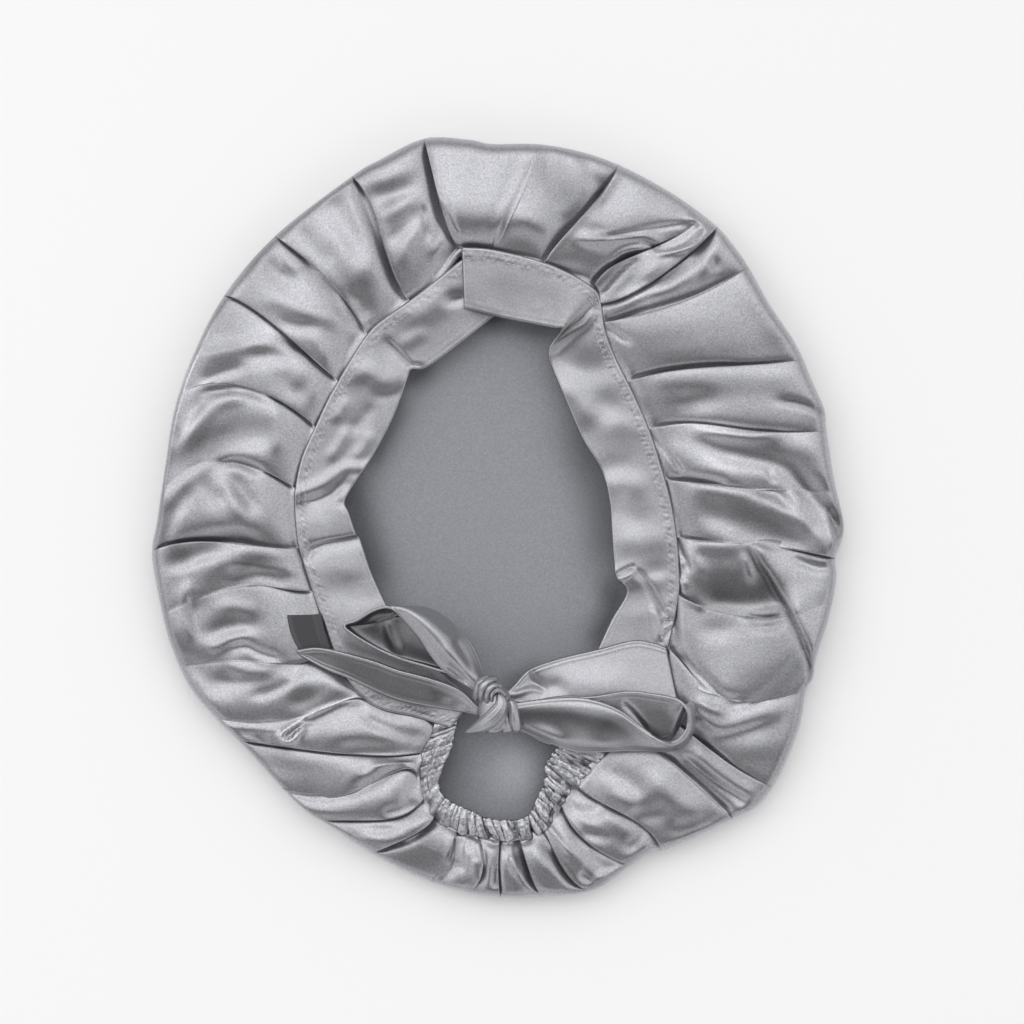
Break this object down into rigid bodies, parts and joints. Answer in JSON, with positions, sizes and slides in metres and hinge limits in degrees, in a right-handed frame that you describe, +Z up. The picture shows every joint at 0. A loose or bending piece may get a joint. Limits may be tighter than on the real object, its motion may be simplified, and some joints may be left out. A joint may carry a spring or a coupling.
{
  "type": "sleep bonnet",
  "caption": "Round satin sleep bonnet lying on its crown with the mouth up: pleated wall, flat face band, gathered nape casing and a tie bow.",
  "frame": {"origin": "middle of the bonnet's outline, on the surface that the crown panel lies on", "axes": "+Z up out of the mouth, +Y towards the forehead edge of the band, +X to the right when the mouth is seen from above with the nape at the bottom"},
  "size_m": [0.3198, 0.3499, 0.0313],
  "materials": {
    "satin": "light grey satin, smooth and lustrous",
    "satin_band": "light grey satin, doubled and stitched along the seam",
    "satin_tie": "light grey satin, doubled with rolled edges",
    "label": "plain woven tab, matte dark grey"
  },
  "bodies": {
    "root": {"crown": "satin", "band_left": "satin_band", "band_right": "satin_band", "nape_casing": "satin_band", "tie_right": "satin_tie", "knot": "satin_tie", "loop_left": "satin_tie", "loop_right": "satin_tie", "tail_left": "satin_tie", "tuck_right": "satin_tie", "seam_label": "label"}
  },
  "joints": []
}
